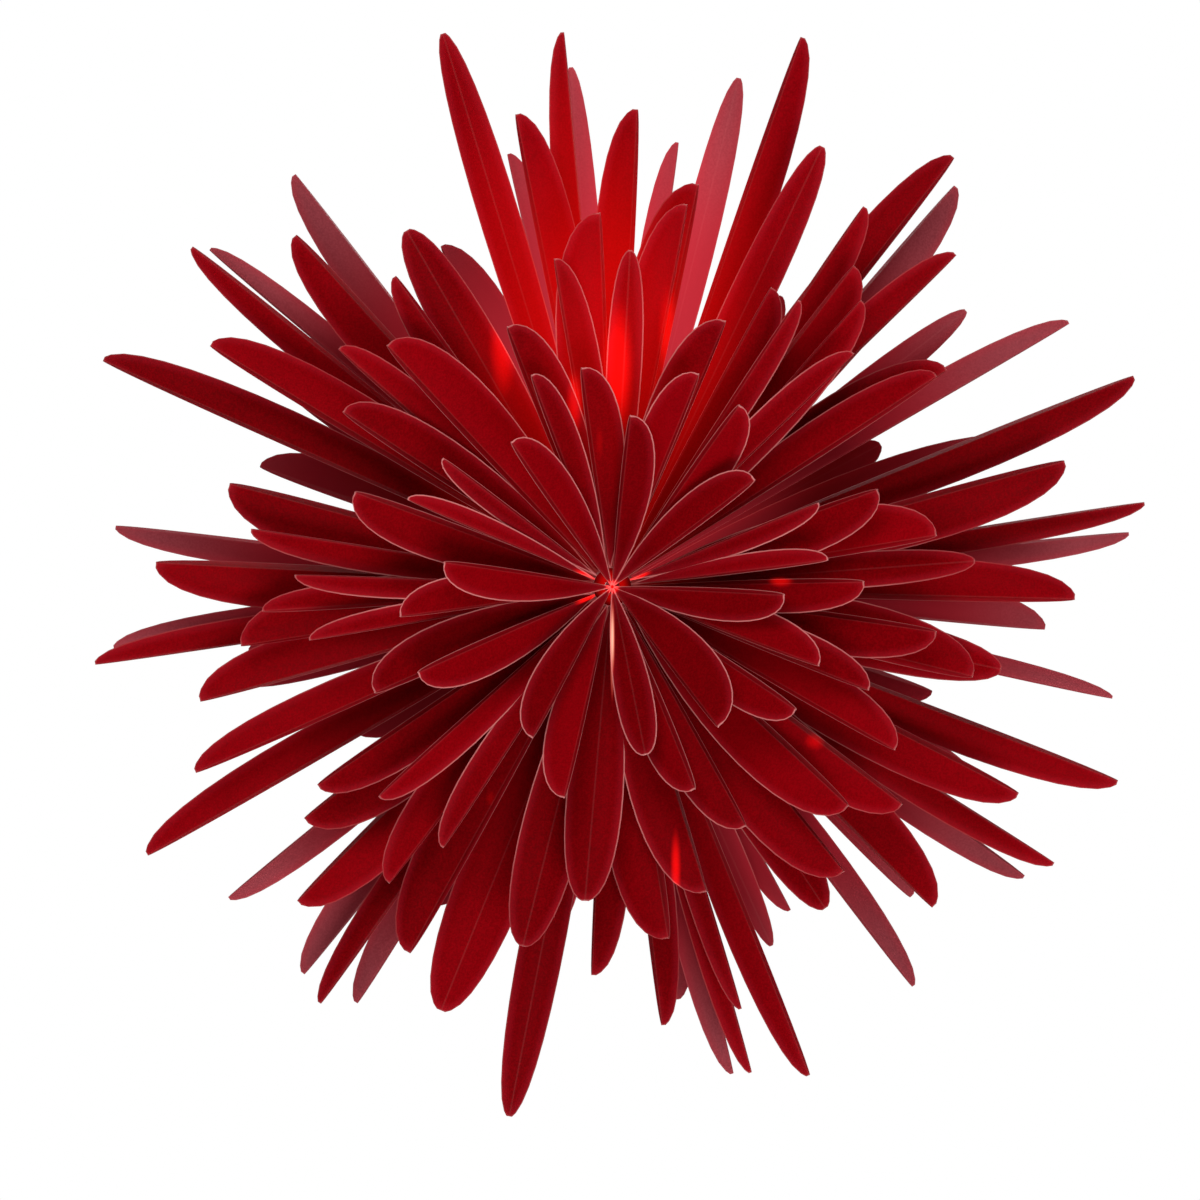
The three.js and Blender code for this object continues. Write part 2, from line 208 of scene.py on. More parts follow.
class PaperFlowerSizes(bpy.types.PropertyGroup):
    """Sizes and folds of the petals."""

    paper_thickness: bpy.props.FloatProperty(
        name="Paper thickness", description="Thickness of the petal paper",
        default=0.0005, unit="LENGTH",
    )
    widest_at: bpy.props.FloatProperty(
        name="Widest at", description="Share of the length where a petal is widest",
        default=WIDEST_AT, subtype="FACTOR",
    )
    tip_fullness: bpy.props.FloatProperty(
        name="Tip fullness", description="Lower is blunter", default=0.46, subtype="FACTOR"
    )
    foot_share: bpy.props.FloatProperty(
        name="Foot width", description="Width of the foot as a share of the leaf",
        default=0.04, subtype="FACTOR",
    )
    tip_share: bpy.props.FloatProperty(
        name="Tip width", description="Width of the blunt tip as a share of the leaf",
        default=0.12, subtype="FACTOR",
    )
    flange_fold: bpy.props.FloatProperty(
        name="Flange fold", description="The strip behind the crease is folded back by this",
        default=math.radians(70), subtype="ANGLE",
    )
    blade_rise: bpy.props.FloatProperty(
        name="Blade rise", description="Slope of the blade where it leaves the crease",
        default=math.radians(8), subtype="ANGLE",
    )
    blade_fall: bpy.props.FloatProperty(
        name="Blade fall", description="Slope of the blade at its cut edge",
        default=math.radians(-24), subtype="ANGLE",
    )
    open_fall: bpy.props.FloatProperty(
        name="Open leaf fall", description="Slope of an open leaf at its cut edges",
        default=math.radians(-22), subtype="ANGLE",
    )


class PaperFlowerColours(bpy.types.PropertyGroup):
    """Colours of the paper, and of the shade, sheen and highlights painted on it, in linear values."""

    face_light: bpy.props.FloatVectorProperty(
        name="Face, light", description="Lighter red of the petal face",
        default=(0.32, 0.0006, 0.004), subtype="COLOR",
    )
    face_dark: bpy.props.FloatVectorProperty(
        name="Face, dark", description="Darker red of the petal face",
        default=(0.135, 0.0002, 0.0015), subtype="COLOR",
    )
    # The reverse's pale pink tones are painted sheen, the grazing reflection on petals that lean back
    reverse_painted_sheen_light: bpy.props.FloatVectorProperty(
        name="Reverse, light", description="Lighter tone of the reverse",
        default=(0.40, 0.066, 0.082), subtype="COLOR",
    )
    reverse_painted_sheen_dark: bpy.props.FloatVectorProperty(
        name="Reverse, dark", description="Darker tone of the reverse",
        default=(0.245, 0.038, 0.049), subtype="COLOR",
    )
    # Painted shade deep in the flower, near each petal's root
    face_painted_shade: bpy.props.FloatVectorProperty(
        name="Face, root", description="Tone of the face deep in the flower",
        default=(0.06, 0.0001, 0.0007), subtype="COLOR",
    )
    # Deep red of the reverse near the middle, where no sheen is painted on it
    reverse_root: bpy.props.FloatVectorProperty(
        name="Reverse, root", description="Tone of the reverse deep in the flower",
        default=(0.34, 0.014, 0.024), subtype="COLOR",
    )
    # Pale core of the paper; the same colour also paints the pale line along the cut edges, partly a
    # highlight, and a highlight along the fold
    cut_edge: bpy.props.FloatVectorProperty(
        name="Cut edge", description="Pale core of the paper at a cut",
        default=(0.88, 0.30, 0.29), subtype="COLOR",
    )
    # Painted sheen: a lighter red band along a cut edge
    painted_rim_sheen: bpy.props.FloatVectorProperty(
        name="Rim band", description="Soft lighter red along a cut edge",
        default=(0.80, 0.032, 0.058), subtype="COLOR",
    )
    glow: bpy.props.FloatProperty(
        name="Inner glow", description="Red light that shines through near the middle",
        default=1.0, min=0.0,
    )


# Selecting and small helpers


def deselect_all():
    """Leaves no object selected, so that the next operator meets only what it is given."""
    if bpy.context.mode != "OBJECT":
        bpy.ops.object.mode_set(mode="OBJECT")
    bpy.ops.object.select_all(action="DESELECT")


def select_only(objects):
    """Selects these objects and makes the first one active."""
    deselect_all()
    for item in objects:
        item.select_set(True)
    bpy.context.view_layer.objects.active = objects[0]


def scatter(azimuth, index, kind):
    """A fixed scatter between -1 and 1 that differs from petal to petal."""
    return math.sin(sum(step * part for step, part in zip(SCATTER_STEPS, (azimuth, index, kind))))


def pick(mesh, indices):
    """Selects only these vertices of the mesh in edit mode."""
    wanted = set(indices)
    cage = bmesh.from_edit_mesh(mesh)
    for vertex in cage.verts:
        vertex.select = vertex.index in wanted
    cage.select_flush_mode()
    bmesh.update_edit_mesh(mesh)


def set_point_values(mesh, name, values):
    """Stores one number per vertex for the materials."""
    layer = mesh.attributes.new(name, "FLOAT", "POINT")
    layer.data.foreach_set("value", np.asarray(values, np.float32))


def point_values(mesh, name):
    """Reads the numbers that set_point_values stored."""
    values = np.empty(len(mesh.vertices), np.float32)
    mesh.attributes[name].data.foreach_get("value", values)
    return values


# The petal that all the others are copies of


def leaf_profile(share, sizes):
    """Width of a petal along its length, 1 at its widest and never less than its end."""
    rise = sizes.tip_fullness * sizes.widest_at / (1 - sizes.widest_at)

    def outline(x):
        return x**rise * (1 - x) ** sizes.tip_fullness

    least = sizes.foot_share if share < sizes.widest_at else sizes.tip_share
    return max(outline(share) / outline(sizes.widest_at), least)


def row_share(row):
    """Share of a petal's length at one of its rows, which crowd towards the tip."""
    return 1 - (1 - row / PETAL_ROWS) ** ROW_CROWDING


def column_slopes(columns, crease, start, end):
    """Slope of each strip of the paper from the crease outwards."""
    count = columns - crease
    return [start + (end - start) * (i + 0.5) / count for i in range(count)]


def turn_columns(mesh, grid, crease, slopes, side):
    """Folds the strips on one side of the crease, each about the line where it begins."""
    before = 0.0
    for i, slope in enumerate(slopes):
        hinge = grid[crease + side * i]
        moving = [v for k in range(i + 1, len(slopes) + 1) for v in grid[crease + side * k]]
        pick(mesh, moving)
        cage = bmesh.from_edit_mesh(mesh)
        cage.verts.ensure_lookup_table()
        centre = cage.verts[hinge[0]].co.copy()
        bpy.ops.transform.rotate(
            value=side * (slope - before), orient_axis="Y", center_override=(centre.x, 0.0, centre.z)
        )
        before = slope


def shape_rows(mesh, rows, sizes):
    """Crowds the rows towards the tip and narrows each to the leaf's outline."""
    for j, row in enumerate(rows):
        share = row_share(j)
        width = leaf_profile(share, sizes)
        pick(mesh, row)
        bpy.ops.transform.translate(value=(0.0, share - j / PETAL_ROWS, 0.0))
        bpy.ops.transform.resize(value=(width, 1.0, width), center_override=(0.0, share, 0.0))


def store_distances(mesh, columns, crease, sizes):
    """Keeps each point's distance from the cut edges, the tip, the crease and the foot, as shares."""
    shares = {"side_gap": [], "tip_gap": [], "fold_gap": [], "petal_along": []}
    for vertex in mesh.vertices:
        row, column = divmod(vertex.index, columns + 1)
        share = row_share(row)
        width = leaf_profile(share, sizes)
        shares["side_gap"].append(min(column, columns - column) / columns * width)
        shares["tip_gap"].append(1 - share)
        shares["fold_gap"].append(abs(column - crease) / columns * width)
        shares["petal_along"].append(share)
    for name, values in shares.items():
        set_point_values(mesh, name, values)


def make_blank(name, columns, crease, left, right, sizes):
    """Models one petal of unit length and width, its crease along +Y and its face towards +Z."""
    deselect_all()
    bpy.ops.mesh.primitive_grid_add(x_subdivisions=columns, y_subdivisions=PETAL_ROWS, size=1.0)
    blank = bpy.context.object
    blank.name = name
    mesh = blank.data
    wide = columns + 1
    grid = [[j * wide + i for j in range(PETAL_ROWS + 1)] for i in range(wide)]
    rows = [[j * wide + i for i in range(wide)] for j in range(PETAL_ROWS + 1)]
    bpy.ops.object.mode_set(mode="EDIT")
    bpy.ops.mesh.select_mode(type="VERT")
    bpy.ops.mesh.select_all(action="SELECT")
    bpy.ops.transform.translate(value=(0.5 - crease / columns, 0.5, 0.0))
    turn_columns(mesh, grid, crease, right, 1)
    turn_columns(mesh, grid, crease, left, -1)
    shape_rows(mesh, rows, sizes)
    bpy.ops.object.mode_set(mode="OBJECT")
    store_distances(mesh, columns, crease, sizes)
    return blank


def make_blanks(sizes):
    """The three kinds of petal: crease on the left, on the right, and down the middle."""
    columns = FLANGE_COLUMNS + BLADE_COLUMNS
    blade = column_slopes(columns, FLANGE_COLUMNS, sizes.blade_rise, sizes.blade_fall)
    flange = [-sizes.flange_fold] * FLANGE_COLUMNS
    half = OPEN_COLUMNS // 2
    leaf = column_slopes(OPEN_COLUMNS, half, 0.0, sizes.open_fall)
    return {
        1: make_blank("blank_left", columns, FLANGE_COLUMNS, flange, blade, sizes),
        -1: make_blank("blank_right", columns, BLADE_COLUMNS, blade, flange, sizes),
        0: make_blank("blank_open", OPEN_COLUMNS, half, leaf, leaf, sizes),
    }


# Placing petals on their rosette


def petal_axes(lean, azimuth):
    """Directions along a petal, out of its face and across it (clockwise), in the flower's frame."""
    tilt, turn = math.radians(lean), math.radians(azimuth)
    along = Vector((math.sin(tilt) * math.cos(turn), -math.cos(tilt), math.sin(tilt) * math.sin(turn)))
    face = Vector((-math.cos(tilt) * math.cos(turn), -math.sin(tilt), -math.cos(tilt) * math.sin(turn)))
    return along, face, along.cross(face)


def apex_point(index):
    """The point on the axis that a rosette's petals spring from."""
    return Vector((0.0, -((len(ROSETTES) - 1) / 2 - index) * ROSETTE_PITCH, 0.0))


def hole_slant(lean):
    """Slant distance from the apex to the hole that clears the core."""
    return (CORE_RADIUS + CORE_CLEARANCE) / math.sin(math.radians(lean))


def ring_slants(index):
    """Slant distances of the inner and outer edge of a rosette's ring."""
    if index == 0:
        return 0.0, FRONT_START
    inner = hole_slant(ROSETTES[index].lean)
    return inner, inner + RING_WIDTH


def petal_sides(leaf, petal):
    """Widths of the anticlockwise and clockwise sides of a petal laid flat."""
    width = leaf * MM * petal.breadth
    if petal.crease == 0:
        return width / 2, width / 2
    flange = width * FLANGE_COLUMNS / (FLANGE_COLUMNS + BLADE_COLUMNS)
    return (flange, width - flange) if petal.crease > 0 else (width - flange, flange)


def petal_width(index, number, ring_radius):
    """Width of a petal laid flat, with its broader side held clear of its neighbour."""
    _, leaf, petals = ROSETTES[index]
    petal, following, leading = petals[number], petals[(number + 1) % len(petals)], petals[number - 1]
    sides = petal_sides(leaf, petal)
    facing = (petal_sides(leaf, following)[1], petal_sides(leaf, leading)[0])
    angles = ((following.azimuth - petal.azimuth) % 360, (petal.azimuth - leading.azimuth) % 360)
    scale = 1.0
    for side, neighbour in enumerate((following, leading)):
        reach = min(petal.reach, neighbour.reach) * MM
        radius = ring_radius + (reach - ring_radius) * WIDEST_AT
        room = radius * math.radians(angles[side]) * GAP_SHARE / (sides[side] + facing[side])
        if sides[side] >= sides[1 - side]:
            scale = min(scale, room)
    return sum(sides) * scale


def store_petal_values(mesh, index, petal, width, length):
    """Turns the stored shares into distances, and adds the petal's own tone and light."""
    edge = np.minimum(point_values(mesh, "side_gap") * width, point_values(mesh, "tip_gap") * length)
    set_point_values(mesh, "edge_distance", edge)
    set_point_values(mesh, "fold_distance", point_values(mesh, "fold_gap") * width)
    count = len(mesh.vertices)
    set_point_values(mesh, "petal_tone", np.full(count, scatter(petal.azimuth, index, TONE)))
    lit = petal.azimuth in LIT_ROOTS.get(index, ())
    set_point_values(mesh, "root_light", np.full(count, 1.0 if lit else 0.0))


def place_petal(blanks, index, number):
    """Copies the right kind of petal, sizes it and stands it on its ring."""
    lean, _, petals = ROSETTES[index]
    petal = petals[number]
    slant = ring_slants(index)[1]
    ring_radius = slant * math.sin(math.radians(lean))
    leaning = lean + LEAN_SCATTER * scatter(petal.azimuth, index, LEAN)
    rolling = math.radians(ROLL_SCATTER * scatter(petal.azimuth, index, ROLL))
    length = (petal.reach * MM - ring_radius) / math.sin(math.radians(leaning))
    width = petal_width(index, number, ring_radius)

    along, face, across = petal_axes(leaning, petal.azimuth)
    turned_across = across * math.cos(rolling) - face * math.sin(rolling)
    turned_face = face * math.cos(rolling) + across * math.sin(rolling)
    place = Matrix((turned_across * width, along * length, turned_face * width)).transposed().to_4x4()
    place.translation = apex_point(index) + petal_axes(lean, petal.azimuth)[0] * slant

    blank = blanks[petal.crease]
    placed = blank.copy()
    placed.data = blank.data.copy()
    bpy.context.collection.objects.link(placed)
    placed.matrix_world = place
    store_petal_values(placed.data, index, petal, width, length)
    return placed


def make_ring(index):
    """The uncut ring that joins a rosette's petals, a narrow cone round the core."""
    inner, outer = ring_slants(index)
    tilt = math.radians(ROSETTES[index].lean)
    rise = (outer - inner) * math.cos(tilt)
    middle = apex_point(index) + Vector((0.0, -(outer + inner) / 2 * math.cos(tilt), 0.0))
    narrow, broad = inner * math.sin(tilt), outer * math.sin(tilt)
    forward = rise > 0
    deselect_all()
    bpy.ops.mesh.primitive_cone_add(
        vertices=RING_SIDES,
        radius1=narrow if forward else broad,
        radius2=broad if forward else narrow,
        depth=abs(rise),
        end_fill_type="NOTHING",
        location=middle,
        rotation=(math.radians(90), 0.0, 0.0),
    )
    ring = bpy.context.object
    if forward:
        bpy.ops.object.mode_set(mode="EDIT")
        bpy.ops.mesh.select_all(action="SELECT")
        bpy.ops.mesh.flip_normals()
        bpy.ops.object.mode_set(mode="OBJECT")
    count = len(ring.data.vertices)
    for name in ("edge_distance", "fold_distance"):
        set_point_values(ring.data, name, np.full(count, CLEAR_OF_EDGES))
    for name in ("petal_tone", "petal_along", "root_light"):
        set_point_values(ring.data, name, np.zeros(count))
    return ring


def thicken(rosette, sizes):
    """Gives the sheet the thickness of the paper, with its own finish on each side and at the cut."""
    select_only([rosette])
    paper = rosette.modifiers.new("Paper", "SOLIDIFY")
    paper.thickness = sizes.paper_thickness
    paper.offset = 0.0
    paper.use_even_offset = True
    paper.material_offset = 1
    paper.material_offset_rim = 2
    bpy.ops.object.modifier_apply(modifier="Paper")
    bpy.ops.object.shade_smooth_by_angle(angle=SMOOTH_ANGLE)


def build_rosette(blanks, index, finishes, sizes):
    """Joins one rosette's ring and petals into one piece that stands for its solid."""
    petals = [place_petal(blanks, index, n) for n in range(len(ROSETTES[index].petals))]
    ring = make_ring(index)
    select_only([ring] + petals)
    bpy.ops.object.transform_apply(location=True, rotation=True, scale=True)
    bpy.ops.object.join()
    rosette = bpy.context.object
    rosette.name = f"paper_rosette_{index + 1:02d}"
    rosette.data.name = rosette.name
    rosette.data.materials.clear()
    for finish in finishes:
        rosette.data.materials.append(finish)
    thicken(rosette, sizes)
    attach(rosette, "root")
    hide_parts(f"rosette_{index + 1:02d}")


def build_rosettes(indices, finishes, sizes):
    """Builds a run of rosettes from one set of blank petals."""
    blanks = make_blanks(sizes)
    for index in indices:
        build_rosette(blanks, index, finishes, sizes)
    for blank in blanks.values():
        bpy.data.objects.remove(blank, do_unlink=True)


# Materials

# Patterns in the paper: scale and detail
CLOUD = (14.0, 2.0)
MOTTLE = (220.0, 3.0)
GRAIN = (900.0, 2.0)
EDGE_FIBRE = (900.0, 3.0)
CORE_FIBRE = (700.0, 3.0)

# How far each pattern lightens the paper
LIGHTER_BY_PETAL = 0.22
LIGHTER_BY_CLOUD = 0.4
LIGHTER_BY_MOTTLE = 0.3

# Ramps: the values where each begins and ends, and what it gives at these
LIGHTER_BY_GRAIN = (0.35, 0.65, 0.05, 0.40)
# Painted shade: how far the face darkens towards each petal's root
FACE_PAINTED_SHADE_RAMP = (0.0, 0.5, 0.45, 0.0)
# The reverse keeps its deep red near the middle, and its painted sheen comes in further out
REVERSE_ROOT = (180 * MM, 270 * MM, 1.0, 0.0)
# Painted sheen: a lighter band along the cut edges
PAINTED_SHEEN_BAND = (0.0, 6 * MM, 0.17, 0.0)
# A pale line along the cut edges, partly the paper's pale core and partly a painted highlight, fading
# outwards
EDGE_LINE_AND_HIGHLIGHT = (0.4 * MM, 0.9 * MM, 1.0, 0.0)
EDGE_LINE_AND_HIGHLIGHT_BY_RADIUS = (80 * MM, 210 * MM, 0.75, 0.12)
# Painted highlight along the fold
PAINTED_FOLD_HIGHLIGHT = (0.2 * MM, 0.7 * MM, 0.035, 0.0)
LIT_ROOT_ALONG = (0.06, 0.13, 1.0, 0.0)
LIT_ROOT_BY_FOLD = (0.8 * MM, 1.8 * MM, 1.0, 0.0)
PAPER_ROUGHNESS = (0.3, 0.7, 0.42, 0.58)
EDGE_ROUGHNESS = (0.3, 0.7, 0.65, 0.8)
CORE_ROUGHNESS = (0.3, 0.7, 0.6, 0.8)

# Gloss and relief
PAPER_SPECULAR = 0.012
RELIEF_DEPTH = 0.3 * MM
PAPER_RELIEF = 0.25
CORE_RELIEF = 0.4
MOTTLE_RELIEF = 1.5

# Shade of the fibres at a cut, and the turns and tones of the core
FIBRE_SHADE = 0.7
CORE_TURN = 0.5 * MM
CORE_DARK = (0.14, 0.003, 0.006)
CORE_LIGHT = (0.34, 0.012, 0.02)

# Sockets of the mix node when it mixes colours
MIX_FACTOR, MIX_FIRST, MIX_SECOND = 0, 6, 7
MIX_RESULT = 2


def add_node(tree, kind, inputs=None, **settings):
    """Adds a node, sets it up and links or fills its inputs."""
    made = tree.nodes.new(kind)
    for key, value in settings.items():
        setattr(made, key, value)
    for key, value in (inputs or {}).items():
        socket = made.inputs[key]
        if isinstance(value, bpy.types.NodeSocket):
            tree.links.new(value, socket)
        else:
            socket.default_value = value
    return made


def new_material(name):
    """A material with its node tree and its principled shader."""
    material = bpy.data.materials.new(name)
    material.use_nodes = True
    shader = material.node_tree.nodes["Principled BSDF"]
    return material, material.node_tree, shader


def ramp(tree, value, low, high, at_low, at_high):
    """Maps a number smoothly from one range to another."""
    made = add_node(
        tree, "ShaderNodeMapRange",
        {"Value": value, "From Min": low, "From Max": high, "To Min": at_low, "To Max": at_high},
        interpolation_type="SMOOTHSTEP",
    )
    return made.outputs["Result"]


def blend(tree, factor, first, second):
    """Mixes two colours."""
    made = add_node(tree, "ShaderNodeMix", data_type="RGBA")
    for number, value in ((MIX_FACTOR, factor), (MIX_FIRST, first), (MIX_SECOND, second)):
        if isinstance(value, bpy.types.NodeSocket):
            tree.links.new(value, made.inputs[number])
        elif number == MIX_FACTOR:
            made.inputs[number].default_value = value
        else:
            made.inputs[number].default_value = (*value[:3], 1.0)
    return made.outputs[MIX_RESULT]


def maths(tree, operation, first, second):
    """One step of arithmetic with numbers."""
    return add_node(tree, "ShaderNodeMath", {0: first, 1: second}, operation=operation).outputs[0]


def place_maths(tree, operation, first, second):
    """One step of arithmetic with places."""
    return add_node(tree, "ShaderNodeVectorMath", {0: first, 1: second}, operation=operation).outputs[0]


def length_of(tree, place):
    """Distance of a place from the origin."""
    return add_node(tree, "ShaderNodeVectorMath", {0: place}, operation="LENGTH").outputs["Value"]


def object_place(tree):
    """Each point's own place on the object."""
    return add_node(tree, "ShaderNodeTexCoord").outputs["Object"]


def axis_distance(tree, place):
    """Distance of a place from the flower's axis."""
    return length_of(tree, place_maths(tree, "MULTIPLY", place, (1.0, 0.0, 1.0)))


def attribute(tree, name):
    """One of the numbers stored on the petals."""
    return add_node(tree, "ShaderNodeAttribute", attribute_name=name).outputs["Fac"]


def noise(tree, place, pattern):
    """A cloudy pattern in the paper."""
    scale, detail = pattern
    made = add_node(tree, "ShaderNodeTexNoise", {"Vector": place, "Scale": scale, "Detail": detail})
    return made.outputs["Fac"]


def add_relief(tree, shader, height, strength):
    """Raises the surface a little by a pattern."""
    inputs = {"Strength": strength, "Distance": RELIEF_DEPTH, "Height": height}
    bump = add_node(tree, "ShaderNodeBump", inputs)
    tree.links.new(bump.outputs["Normal"], shader.inputs["Normal"])


# Where red light from between the sheets shines through: centre and half size in metres, and strength
GLOWS = [
    ((0.000, 0.030, 0.150), (0.140, 0.120, 0.220), 0.38),
    ((0.000, -0.060, 0.150), (0.095, 0.080, 0.115), 0.25),
    ((0.003, -0.070, 0.122), (0.010, 0.050, 0.045), 0.8),
    ((-0.060, -0.040, 0.135), (0.009, 0.060, 0.036), 0.5),
    ((0.030, -0.050, 0.143), (0.007, 0.050, 0.032), 0.5),
    ((-0.021, -0.065, 0.099), (0.006, 0.045, 0.022), 0.7),
    ((0.044, -0.065, 0.161), (0.007, 0.050, 0.022), 0.6),
    ((-0.007, -0.065, 0.082), (0.004, 0.040, 0.018), 0.7),
    ((0.034, -0.080, -0.152), (0.0035, 0.060, 0.024), 0.8),
    ((-0.131, -0.080, -0.035), (0.010, 0.050, 0.005), 0.6),
    ((0.091, -0.080, 0.003), (0.008, 0.050, 0.004), 0.5),
    ((0.110, -0.080, -0.084), (0.007, 0.050, 0.006), 0.3),
    ((-0.067, -0.080, -0.116), (0.005, 0.050, 0.008), 0.35),
    ((0.000, -0.040, 0.000), (0.014, 0.0065, 0.014), 0.5),
    ((0.000, -0.044, 0.000), (0.006, 0.006, 0.006), 1.0),
]
# Colours of that light through the face and through the reverse, with its painted pink sheen
FACE_GLOW = (1.0, 0.004, 0.002)
REVERSE_GLOW = (1.0, 0.06, 0.09)
# A pale slit of the same light under the middle, and its colour
SLIT = ((0.0, -0.060, -0.033), (0.0017, 0.034, 0.034), 1.0)
SLIT_COLOUR = (1.0, 0.55, 0.38)
# A spot keeps its strength to this share of its half size, and has faded out at all of it
SPOT_CORE = 0.2

# Azimuths of the petals whose roots are lit, by the rosette's place in the list
LIT_ROOTS = {1: (22, 111, 157, 204, 292, 339)}


def soft_spot(tree, place, spot, strength):
    """A soft spot of light round one place in the flower."""
    centre, half, level = spot
    offset = place_maths(tree, "SUBTRACT", place, centre)
    reach = length_of(tree, place_maths(tree, "DIVIDE", offset, half))
    return ramp(tree, reach, SPOT_CORE, 1.0, level * strength, 0.0)


def lit_root(tree):
    """Light along the fold of a lit petal, near its root."""
    along = ramp(tree, attribute(tree, "petal_along"), *LIT_ROOT_ALONG)
    near_fold = ramp(tree, attribute(tree, "fold_distance"), *LIT_ROOT_BY_FOLD)
    lit = maths(tree, "MULTIPLY", along, attribute(tree, "root_light"))
    return maths(tree, "MULTIPLY", lit, near_fold)


def add_glow(tree, shader, place, strength, tint):
    """Lets the light from inside shine through the paper."""
    slit = soft_spot(tree, place, SLIT, strength)
    total = maths(tree, "ADD", slit, lit_root(tree))
    for spot in GLOWS:
        total = maths(tree, "ADD", total, soft_spot(tree, place, spot, strength))
    colour = blend(tree, slit, tint, SLIT_COLOUR)
    tree.links.new(colour, shader.inputs["Emission Color"])
    tree.links.new(total, shader.inputs["Emission Strength"])


def face_painted_shade_share(tree):
    """How far the face takes its painted shade: near the root of each petal."""
    return ramp(tree, attribute(tree, "petal_along"), *FACE_PAINTED_SHADE_RAMP)


def reverse_root_share(tree):
    """How far the reverse takes its deep red root tone, free of painted sheen: towards the middle of the
    flower.
    """
    return ramp(tree, axis_distance(tree, object_place(tree)), *REVERSE_ROOT)


def paper_lightness(tree, cloud, mottle, grain):
    """How light the paper is, from petal to petal and within each."""
    total = maths(tree, "MULTIPLY", attribute(tree, "petal_tone"), LIGHTER_BY_PETAL)
    total = maths(tree, "ADD", total, maths(tree, "MULTIPLY", cloud, LIGHTER_BY_CLOUD))
    total = maths(tree, "ADD", total, maths(tree, "MULTIPLY", mottle, LIGHTER_BY_MOTTLE))
    return maths(tree, "ADD", total, ramp(tree, grain, *LIGHTER_BY_GRAIN))


def draw_edges(tree, place, colour, colours):
    """Lays a band of painted sheen and a pale line along the cut edges, the line partly the paper's pale
    core and partly a painted highlight, and a faint painted highlight along the fold.
    """
    edge = attribute(tree, "edge_distance")
    # Painted sheen along the cut edges
    colour = blend(tree, ramp(tree, edge, *PAINTED_SHEEN_BAND), colour, colours.painted_rim_sheen)
    # Pale line along the cut edges: the pale core, partly painted highlight
    line_share = ramp(tree, axis_distance(tree, place), *EDGE_LINE_AND_HIGHLIGHT_BY_RADIUS)
    line = maths(tree, "MULTIPLY", ramp(tree, edge, *EDGE_LINE_AND_HIGHLIGHT), line_share)
    colour = blend(tree, line, colour, colours.cut_edge)
    # Painted highlight along the fold
    fold = ramp(tree, attribute(tree, "fold_distance"), *PAINTED_FOLD_HIGHLIGHT)
    return blend(tree, fold, colour, colours.cut_edge)


def paper_finish(name, tones, root_share, glow_colour, colours):
    """Paper with a fine grain, a pale line along the cut edges that is partly a painted highlight, and a
    band of painted sheen inside it.
    """
    material, tree, shader = new_material(name)
    light, dark, root = tones
    place = object_place(tree)
    cloud, mottle, grain = (noise(tree, place, pattern) for pattern in (CLOUD, MOTTLE, GRAIN))

    colour = blend(tree, paper_lightness(tree, cloud, mottle, grain), dark, light)
    # Near the roots: painted shade on the face, and on the reverse its deep red with no painted sheen
    colour = blend(tree, root_share(tree), colour, root)
    colour = draw_edges(tree, place, colour, colours)
    tree.links.new(colour, shader.inputs["Base Color"])

    tree.links.new(ramp(tree, grain, *PAPER_ROUGHNESS), shader.inputs["Roughness"])
    shader.inputs["Specular IOR Level"].default_value = PAPER_SPECULAR
    height = maths(tree, "ADD", grain, maths(tree, "MULTIPLY", mottle, MOTTLE_RELIEF))
    add_relief(tree, shader, height, PAPER_RELIEF)
    add_glow(tree, shader, place, colours.glow, glow_colour)
    return material


def edge_finish(colours):
    """The bare core of the paper where it was cut."""
    material, tree, shader = new_material("cut_edge")
    fibre = noise(tree, object_place(tree), EDGE_FIBRE)
    darker = [part * FIBRE_SHADE for part in colours.cut_edge]
    tree.links.new(blend(tree, fibre, darker, colours.cut_edge), shader.inputs["Base Color"])
    tree.links.new(ramp(tree, fibre, *EDGE_ROUGHNESS), shader.inputs["Roughness"])
    return material


def core_finish():
    """A stick of tightly rolled paper, with its turns showing on the ends."""
    material, tree, shader = new_material("rolled_paper")
    place = object_place(tree)
    turns = maths(tree, "PINGPONG", axis_distance(tree, place), CORE_TURN)
    lap = ramp(tree, turns, 0.0, CORE_TURN, 0.0, 1.0)
    fibre = noise(tree, place, CORE_FIBRE)
    shade = maths(tree, "MULTIPLY", maths(tree, "ADD", lap, fibre), 0.5)
    tree.links.new(blend(tree, shade, CORE_DARK, CORE_LIGHT), shader.inputs["Base Color"])
    tree.links.new(ramp(tree, fibre, *CORE_ROUGHNESS), shader.inputs["Roughness"])
    add_relief(tree, shader, shade, CORE_RELIEF)
    return material


def paper_set(colours):
    """The face, the reverse and the cut edge, made once and shared."""
    found = bpy.data.materials.get
    if found("petal_face"):
        return found("petal_face"), found("petal_reverse"), found("cut_edge")
    tones = (colours.face_light, colours.face_dark, colours.face_painted_shade)
    face = paper_finish("petal_face", tones, face_painted_shade_share, FACE_GLOW, colours)
    tones = (colours.reverse_painted_sheen_light, colours.reverse_painted_sheen_dark, colours.reverse_root)
    reverse = paper_finish("petal_reverse", tones, reverse_root_share, REVERSE_GLOW, colours)
    return face, reverse, edge_finish(colours)


# Stage


def backdrop_shader(tree, shaded):
    """White where it is seen or reflected, and a plain pale surface for the light it gives."""
    path = add_node(tree, "ShaderNodeLightPath").outputs
    seen = path["Is Camera Ray"]
    for kind in ("Is Glossy Ray", "Is Transmission Ray"):
        seen = maths(tree, "MAXIMUM", seen, path[kind])
    white = add_node(tree, "ShaderNodeEmission", {"Color": WHITE, "Strength": 1.0}).outputs[0]
    mixed = add_node(tree, "ShaderNodeMixShader", {1: shaded, 2: white})
    return mixed, seen


